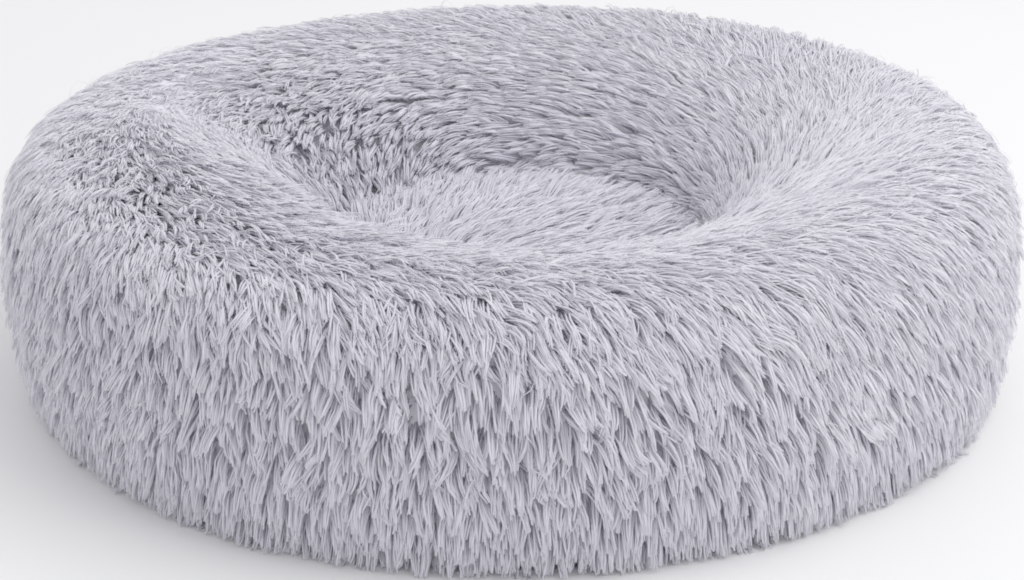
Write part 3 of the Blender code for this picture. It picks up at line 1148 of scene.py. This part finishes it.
@dataclass(frozen=True)
class Studio:
    """Floor, lights and camera."""

    target: Triple = (0.0013, 0.0, 0.0389)
    distance: float = 1.322
    elevation: float = 22.02
    lens: float = 73.66
    floor_half: float = 9.0
    key_place: Triple = (1.4, -0.4, 1.9)
    key_power: float = 30.0
    key_size: float = 2.2
    sky: tuple[float, ...] = (0.97, 0.975, 1.0, 1.0)
    sky_strength: float = 0.72
    pixel_blur: float = 1.9
    bounces: int = 10
    gamma: float = 1.45

    def camera(self) -> None:
        """Place the camera at the viewing angle."""
        data = bpy.data.cameras.new("camera")
        data.lens, data.sensor_width = self.lens, 36.0
        data.clip_start, data.clip_end = 0.05, 60.0
        obj = bpy.data.objects.new("camera", data)
        tilt = math.radians(self.elevation)
        obj.location = Vector(self.target) + self.distance * Vector((0, -math.cos(tilt), math.sin(tilt)))
        obj.rotation_euler = (math.pi / 2 - tilt, 0, 0)
        bpy.context.scene.collection.objects.link(obj)
        bpy.context.scene.camera = obj

    def floor(self) -> None:
        """Lay the floor."""
        side = self.floor_half
        points = np.array([[-side, -side, 0], [side, -side, 0], [side, side, 0], [-side, side, 0]], float)
        obj = build_mesh("studio_floor", points, np.array([[0, 1, 2, 3]]), no_triangles())
        obj.data.materials.append(FloorFinish().make())

    def key(self) -> None:
        """Hang one soft panel aimed at the bed."""
        data = bpy.data.lights.new("key", "AREA")
        data.energy, data.size = self.key_power, self.key_size
        obj = bpy.data.objects.new("key", data)
        obj.location = self.key_place
        aim = Vector(self.target) - Vector(self.key_place)
        obj.rotation_euler = aim.to_track_quat("-Z", "Y").to_euler()
        bpy.context.scene.collection.objects.link(obj)

    def world(self) -> None:
        """Even pale surroundings."""
        world = bpy.data.worlds.new("studio")
        world.use_nodes = True
        ground = world.node_tree.nodes["Background"]
        ground.inputs["Color"].default_value = self.sky
        ground.inputs["Strength"].default_value = self.sky_strength
        bpy.context.scene.world = world

    def build(self) -> None:
        """Set the whole studio."""
        self.camera()
        self.floor()
        self.world()
        self.key()
        bpy.context.scene.cycles.filter_width = self.pixel_blur
        bpy.context.scene.cycles.diffuse_bounces = self.bounces
        view = bpy.context.scene.view_settings
        view.view_transform, view.look, view.gamma = "Standard", "None", self.gamma


# ---------- the bed


class CushionBed:
    """Builds the pieces in order."""

    PILE = 0.0108
    SPACING = 0.0053
    LOCK = 0.0098
    JITTER = 0.42
    SPREAD = 0.0030
    NEST_SHADE = 0.9
    CREST_PAINTED_HIGHLIGHT = 0.45
    CREST_PRESS = 0.6
    CALM_LAY = (0.66, 0.34)
    CREST_BAND = (0.135, 0.275)
    FLOOR_BAND = 0.372
    FAN_SOURCE = (-0.085, -0.095)
    PAD_GAP = 0.0046
    PAD_UNDER = 0.0026
    BACKING_THICK = 0.0008
    RING_WALL = 0.1405
    RING_TURNS = 192
    FLOOR_TURNS = 128
    SEAM_TURNS = 720
    BASE_SEAM = (0.2738, 0.0012)

    def __init__(self) -> None:
        """Make the form and the finishes."""
        self.shape = BedShape(SectionSize(), Lumps())
        self.nap = NapField(NAP_ROWS)
        self.pile_finish = PileFinish().make()
        self.knit = KnitFinish().make()
        self.wadding = WaddingFinish().make()
        self.weave = WeaveFinish().make()
        self.thread = ThreadFinish().make()
        self.grower = PileGrower(self.shape, self.PILE, StrandSize(), self.pile_finish)

    def take(self, obj: Piece, slot: Slot, *nodes: str) -> Piece:
        """Hide the CAD parts that a piece stands for, parent it to the root body and log its faces."""
        if nodes:
            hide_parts(*nodes)
        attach(obj, ROOT_BODY)
        LOG.info("%s: %d faces", obj.name, len(obj.data.polygons))
        return obj

    def roots(self, start: float, end: float, spacing: float, seed: int) -> tuple[Array, Array, Array]:
        """Scatter tuft roots evenly over a band of the backing; gives places, angles and arc lengths."""
        rng = np.random.default_rng(seed)
        line = self.shape.inset(self.PILE, start, end, 400)
        steps = travel(line)
        rows = max(2, int(round(steps[-1] / (spacing * 0.87))))
        spots, angles, arcs = [], [], []
        for row in range(rows):
            share = (row + 0.5) / rows
            radius = np.interp(share * steps[-1], steps, line[:, 0])
            many = max(3, int(round(TAU * radius / spacing)))
            angle = (np.arange(many) + 0.5 * (row % 2)) * TAU / many
            angle = angle + rng.uniform(-self.JITTER, self.JITTER, many) * TAU / many
            along = share + rng.uniform(-self.JITTER, self.JITTER, many) / rows
            along = np.clip(along * steps[-1], 0, steps[-1])
            r, z = points_at(line, steps, along).T
            spots.append(self.shape.place(angle, r, np.maximum(z, 0.0022)))
            angles.append(angle % TAU)
            arcs.append(start + (end - start) * along / steps[-1])
        return np.concatenate(spots), np.concatenate(angles), np.concatenate(arcs)

    def locks(self, places: Array, start: float, end: float, seed: int) -> Array:
        """Number the lock of pile that each tuft belongs to."""
        middles, _, _ = self.roots(start, end, self.LOCK, seed)
        tree = KDTree(len(middles))
        for number, middle in enumerate(middles):
            tree.insert(middle, number)
        tree.balance()
        return np.array([tree.find(place)[1] for place in places])

    @staticmethod
    def ruffle_shade(ruffle: Array) -> Array:
        """Painted shade by ruffle: calm pile is pale to the root, ruffled pile is darker, as if shaded
        between its parted locks.
        """
        return 0.85 - 1.15 * ruffle

    def tone(self, places: Array, seed: int, rng: np.random.Generator, spread: float = 0.2) -> Array:
        """Uneven dye: soft patches and a difference from tuft to tuft."""
        return 0.3 * Ripple(seed + 2, 0.05)(places) + rng.normal(0, spread, len(places))

    def ring_tufts(self, start: float, end: float, seed: int) -> Tufts:
        """Tufts for a band of the ring.

        Args:
            start: arc length where the band starts.
            end: arc length where it ends.
            seed: random seed.

        Returns:
            The tufts, fuller on the inner side, laid flat over the crest, with a painted highlight along
            the crest and painted shade on ruffled pile and down into the nest.
        """
        places, angle, arc = self.roots(start, end, self.SPACING, seed)
        rng = np.random.default_rng(seed + 1)
        heading, length, gather, ruffle = self.nap.read(angle, arc)
        short = np.where(arc < 0.03, 0.55 + 0.45 * smooth(0.0, 0.024, places[:, 2]), 1.0)
        length = length * 0.001 * rng.uniform(0.85, 1.1, len(places)) * short
        tone = self.tone(places, seed, rng) + self.ruffle_shade(ruffle)
        # Painted highlight: the tone is lightened in a band along the crest.
        crest_highlight = self.CREST_PAINTED_HIGHLIGHT * np.exp(-((arc - 0.215) / 0.045) ** 2)
        calm, rougher = self.CALM_LAY
        outside = start < 0
        return Tufts(
            roots=places, heading=heading, length=length, gather=gather, ruffle=ruffle,
            # Painted shade darkens the tone down the slope into the nest; the painted crest highlight is
            # added.
            tone=tone - self.NEST_SHADE * smooth(0.25, 0.33, arc) + crest_highlight,
            strands=5 if outside else 6, spread=self.SPREAD, hang=float(outside),
            lock=self.locks(places, start, end, seed + 3), pull=gather * 0.5 + 0.05,
            flatten=((1.0 - self.CREST_PRESS * np.exp(-((arc - 0.21) / 0.05) ** 2))
                     * (calm + rougher * np.minimum(ruffle, 1.0))))

    def crest_tufts(self, seed: int, spacing: float, first: float, last: float) -> Tufts:
        """Fuller tufts where the pile parts over the crest, between two angles in degrees."""
        places, angle, arc = self.roots(*self.CREST_BAND, spacing, seed)
        keep = (np.degrees(angle) >= first) & (np.degrees(angle) <= last)
        places, angle, arc = places[keep], angle[keep], arc[keep]
        rng = np.random.default_rng(seed + 1)
        heading, length, gather, ruffle = self.nap.read(angle, arc)
        return Tufts(
            roots=places, heading=heading + rng.normal(0, 20, len(places)),
            length=length * 0.001 * rng.uniform(0.85, 1.15, len(places)), gather=gather, ruffle=ruffle,
            tone=self.tone(places, seed, rng) + self.ruffle_shade(ruffle),
            strands=3, spread=self.SPREAD, lift=(48.0, 8.0),
            lock=self.locks(places, *self.CREST_BAND, seed + 3), pull=np.full(len(places), 0.35),
            flatten=np.full(len(places), 0.6))

    def floor_tufts(self, seed: int) -> Tufts:
        """Tufts for the sunken floor, fanning from its front left."""
        places, _, _ = self.roots(self.FLOOR_BAND, self.shape.floor_arc, self.SPACING, seed)
        rng = np.random.default_rng(seed + 1)
        away = places[:, :2] - np.array(self.FAN_SOURCE)
        many = len(places)
        return Tufts(
            roots=places, heading=np.degrees(np.arctan2(away[:, 1], away[:, 0])),
            length=0.001 * rng.uniform(26, 34, many), gather=np.full(many, 0.5), ruffle=np.full(many, 0.6),
            # Painted shade: the sunken floor's pile is given a tone 0.7 lower.
            tone=self.tone(places, seed, rng, 0.15) - 0.7,
            strands=6, spread=0.0034, lift=(42.0, 2.0), fixed=True,
            lock=self.locks(places, self.FLOOR_BAND, self.shape.floor_arc, seed + 3),
            pull=np.full(many, 0.5), flatten=np.full(many, 0.75))

    def build_padding(self) -> None:
        """Stuff the ring and the floor cushion."""
        depth, low = self.PILE + self.PAD_GAP, self.PAD_UNDER
        over = self.shape.inset(depth, -0.001, 0.360, 90)
        over = over[over[:, 1] > 0.0055]
        under = np.array([[0.143, 0.0052], [0.150, low], [over[0, 0] - 0.004, low]])
        wall = np.array([[self.RING_WALL, height] for height in np.linspace(over[-1, 1] - 0.006, 0.010, 8)])
        top = over[over[:, 0] > self.RING_WALL]
        ring = sweep("ring_padding", self.shape, np.concatenate([top, wall, under]), self.RING_TURNS)
        dome = self.shape.inset(depth, 0.380, 9.0, 40)[::-1]
        dome = dome[dome[:, 0] < 0.128]
        side = np.array([[0.1325, dome[-1, 1] - 0.005], [0.134, 0.030], [0.1325, 0.006], [0.129, low]])
        line = np.concatenate([[[0.0, dome[0, 1]]], dome[1:], side, [[0.0, low]]])
        cushion = spin_solid("floor_padding", self.shape, line, self.FLOOR_TURNS)
        for obj, node in ((ring, "ring_filling"), (cushion, "floor_wadding")):
            Padding().puff(obj)
            obj.data.materials.clear()
            obj.data.materials.append(self.wadding)
            self.take(obj, Slot.FILLING, node)

    def build_backing(self) -> None:
        """Lay the knitted backing on the ring and the floor."""
        outer = self.shape.inset(self.PILE, -1, 0.206, 60)
        outer = outer[outer[:, 1] > 0.0021]
        inner = self.shape.inset(self.PILE, 0.2075, 0.366, 60)
        floor = self.shape.inset(self.PILE, 0.374, 9.0, 50)
        floor[-1, 0] = 0.0
        thick = self.BACKING_THICK
        disc = np.concatenate([floor[::-1], floor - [0, thick]])
        covers = (
            (sweep("backing_outer", self.shape, offset_cloth(outer, thick), self.RING_TURNS),
             ("outer_fur_front", "outer_fur_back")),
            (sweep("backing_inner", self.shape, offset_cloth(inner, thick), self.RING_TURNS),
             ("inner_fur_front", "inner_fur_back")),
            (spin_solid("backing_floor", self.shape, disc, self.FLOOR_TURNS), ("floor_fur",)),
        )
        for piece, nodes in covers:
            piece.data.materials.append(self.knit)
            self.take(piece, Slot.FUR, *nodes)

    def build_base(self) -> None:
        """Sew on the woven base with its grip dots."""
        base = BaseCloth()
        cloth = base.cloth(self.shape)
        cloth.data.materials.append(self.weave)
        self.take(cloth, Slot.BASE, "base_fabric")
        dots = base.dots()
        dots.data.materials.append(GripFinish().make())
        self.take(dots, Slot.BASE)

    def seam_line(self, arcs: Array, angles: Array) -> tuple[Array, Array]:
        """Points and outward directions on the backing at arc lengths and angles."""
        line = self.shape.inset(self.PILE, -0.02, 9.0, 900)
        share = np.interp(arcs, self.shape.arc, np.linspace(0, 1, len(self.shape.outline)))
        radius, height = points_at(line, np.linspace(0.0, 1.0, len(line)), share).T
        points = self.shape.place(angles, radius, height)
        gap, normal = self.shape.survey(points)
        return points - normal * (gap + self.PILE)[:, None], normal

    def sew(self, node: str, line: Array, normal: Array) -> None:
        """Sew one seam's thread."""
        piece = Stitching().sew(f"stitched_{node}", line, normal)
        piece.data.materials.append(self.thread)
        self.take(piece, Slot.THREAD, node)

    def build_seams(self) -> None:
        """Sew every seam."""
        many = self.SEAM_TURNS
        turn = np.linspace(0, TAU, many)
        rows = [("crest_seam", np.full(many, 0.2067), turn), ("floor_seam", np.full(many, 0.369), turn)]
        for side, degrees in (("right", 37.5), ("left", 135.0)):
            for part, start, end, steps in (("outer", 0.012, 0.202, 200), ("inner", 0.211, 0.364, 160)):
                rows.append((f"{part}_seam_{side}", np.linspace(start, end, steps),
                             np.full(steps, math.radians(degrees))))
        for node, arcs, angles in rows:
            self.sew(node, *self.seam_line(arcs, angles))
        radius, height = self.BASE_SEAM
        rim = np.stack([radius * np.cos(turn), radius * np.sin(turn), np.full(many, height)], 1)
        self.sew("base_seam", rim, np.tile([0.0, 0.0, -1.0], (many, 1)))

    def grow(self, name: str, seed: int, *groups: Tufts) -> None:
        """Grow tufts and hand over their pieces."""
        for piece in self.grower.grow(name, groups, seed):
            self.take(piece, Slot.FUR)

    def build_pile(self) -> None:
        """Grow the pile on the ring, over its crest and on the floor."""
        self.grow("pile_outer", 16, self.ring_tufts(-0.006, 0.206, 11))
        self.grow("pile_inner", 36, self.ring_tufts(0.206, 0.368, 31))
        self.grow("pile_crest", 66, self.crest_tufts(61, 0.0062, 0.0, 360.0),
                  self.crest_tufts(71, 0.0058, 150.0, 320.0))
        self.grow("pile_floor", 56, self.floor_tufts(51))


def main() -> None:
    """Build the bed and its studio."""
    logging.basicConfig(level=logging.INFO, format="%(name)s %(message)s")
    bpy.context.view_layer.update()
    Studio().build()
    bed = CushionBed()
    bed.build_padding()
    bed.build_backing()
    bed.build_base()
    bed.build_seams()
    bed.build_pile()


if __name__ == "__main__":
    main()
